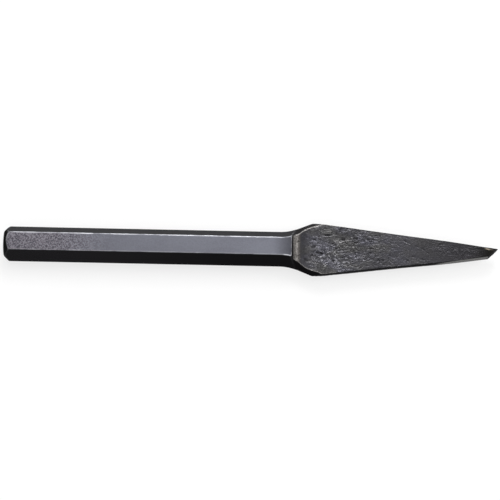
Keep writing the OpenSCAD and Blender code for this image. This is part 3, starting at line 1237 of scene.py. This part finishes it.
# %% [markdown]
# ## The floor
#
# The tool lies on white paper. Real paper under a light that shows dark steel well comes out pale grey,
# so what the camera and the steel's mirrors see of it is mixed with plain white, more of it further
# out. Light that the paper throws back on the tool stays that of paper, and the tool's shadow stays on
# it.

# %% White paper
FLOOR_REACH = 3.0
PAPER_COLOUR = (0.9, 0.9, 0.9, 1.0)
PAPER_ROUGH = 0.9
WHITE = (1.0, 1.0, 1.0, 1.0)
NEAR_WHITENESS = 0.7
# Where the paper starts to turn white and where it is white, in metres from the middle of the tool
WHITENING = (0.1, 0.5)


def seen(tree):
    """1 for rays that show a thing to the camera, straight, mirrored or through glass, else 0."""
    kinds = ("Is Camera Ray", "Is Glossy Ray", "Is Transmission Ray")
    camera, mirrored, through = (node(tree, "ShaderNodeLightPath", (), kind) for kind in kinds)
    return (camera + mirrored + through).smallest(1.0)


def paper_material():
    """Matt paper, mixed with white where it is seen."""
    material = bpy.data.materials.new("paper")
    material.use_nodes = True
    tree = material.node_tree
    shader = tree.nodes["Principled BSDF"]
    shader.inputs["Base Color"].default_value = PAPER_COLOUR
    shader.inputs["Roughness"].default_value = PAPER_ROUGH
    shader.inputs["Specular IOR Level"].default_value = 0.0
    place = node(tree, "ShaderNodeTexCoord", (), "Object")
    distance = node(tree, "ShaderNodeVectorMath", (place,), "Value", operation="LENGTH")
    whiteness = between(distance.ease(*WHITENING), NEAR_WHITENESS, 1)
    white = node(tree, "ShaderNodeEmission", {"Color": WHITE, "Strength": 1.0})
    paper = Flow(tree, shader.outputs[0])
    mixed = node(tree, "ShaderNodeMixShader", (seen(tree) * whiteness, paper, white))
    tree.links.new(mixed.socket, tree.nodes["Material Output"].inputs["Surface"])
    return material


floor_mesh = bpy.data.meshes.new("floor")
floor_corners = [(x * FLOOR_REACH, y * FLOOR_REACH, 0) for x, y in ((-1, -1), (1, -1), (1, 1), (-1, 1))]
floor_mesh.from_pydata(floor_corners, [], [(0, 1, 2, 3)])
floor_mesh.materials.append(paper_material())
floor = add_piece("floor", floor_mesh)
print("paper", 2 * FLOOR_REACH, "m wide")

# %% [markdown]
# ## The light
#
# Steel shows what it mirrors. A wide softbox almost overhead gives the level faces their even grey. One
# behind the tool is what the ripples' far slopes and the bar's upper edge catch, a third serves slopes
# that face the point, and a fourth in front the black sides. The sky is white along the horizon and
# greyer overhead, so that the sloping sides stay readable from every direction.

# %% Softboxes and sky
LIGHT_FAR = 0.8
# Each softbox: name, size in metres, tilt towards the point and towards the back in degrees, radiance
SOFTBOXES = (
    ("key", 0.5, 0, 12, 1.6),
    ("back", 0.3, 10, 40, 11.0),
    ("side", 0.3, 50, 15, 4.0),
    ("front", 0.4, 0, -34, 2.5),
)
SKY_OVERHEAD = 0.45
# Where the sky starts to turn grey and where it is grey, as the upward part of a direction
SKY_FADE = (0.12, 0.5)


def softbox(name, size, tilt_x, tilt_y, radiance):
    """A square light that faces the tool, turned from straight above by two angles."""
    lamp = bpy.data.lights.new(name, "AREA")
    lamp.shape = "SQUARE"
    lamp.size = size
    lamp.energy = radiance * math.pi * size ** 2
    way = Vector((math.tan(math.radians(tilt_x)), math.tan(math.radians(tilt_y)), 1)).normalized()
    made = add_piece(name, lamp)
    made.location = way * LIGHT_FAR
    made.rotation_mode = "QUATERNION"
    made.rotation_quaternion = way.to_track_quat("Z", "Y")


def studio_world():
    """A white horizon under a greyer sky."""
    made = bpy.data.worlds.new("studio")
    made.use_nodes = True
    sky = made.node_tree.nodes["Background"]
    sky.inputs["Color"].default_value = WHITE
    upwards = axis_of(node(made.node_tree, "ShaderNodeTexCoord", (), "Generated"), "Z")
    feed(sky, {"Strength": between(upwards.ease(*SKY_FADE), 1, SKY_OVERHEAD)})
    return made


for box in SOFTBOXES:
    softbox(*box)
bpy.context.scene.world = studio_world()
bpy.context.scene.view_settings.view_transform = "Standard"
print([box[0] for box in SOFTBOXES], "and a sky")

# %% [markdown]
# ## The camera
#
# The photograph shows both the level flat and a sliver of the sides above and below it, so the camera
# stands almost straight over the tool and a little towards the belly's side. It is far off with a long
# lens, and turned by about a degree, because the tool isn't quite level in the picture.

# %% Camera at the photograph's angle
PHOTO_TILT = math.radians(13.3)
PHOTO_ROLL = math.radians(1.18)
PHOTO_PIXELS = 500
PIXEL = 0.3081 * MM
CAMERA_FAR = 0.9
SENSOR = 36.0
AIM_X = -0.2 * MM
AIM_DOWN = 0.42 * MM


def photo_camera():
    """A camera that shows what the photograph shows."""
    lens = bpy.data.cameras.new("camera")
    lens.sensor_width = SENSOR
    lens.lens = SENSOR * CAMERA_FAR / (PHOTO_PIXELS * PIXEL)
    made = add_piece("camera", lens)
    back = Vector((0, -math.sin(PHOTO_TILT), math.cos(PHOTO_TILT)))
    level = Vector((0, math.cos(PHOTO_TILT), math.sin(PHOTO_TILT)))
    right = Vector((1, 0, 0)) * math.cos(PHOTO_ROLL) + level * math.sin(PHOTO_ROLL)
    up = level * math.cos(PHOTO_ROLL) - Vector((1, 0, 0)) * math.sin(PHOTO_ROLL)
    turn = Matrix((right, up, back)).transposed().to_4x4()
    turn.translation = Vector((AIM_X, 0, AXIS_Z)) - up * AIM_DOWN + back * CAMERA_FAR
    made.matrix_world = turn
    return made


bpy.context.scene.camera = photo_camera()
print("camera", CAMERA_FAR, "m away, lens", round(bpy.context.scene.camera.data.lens), "mm")
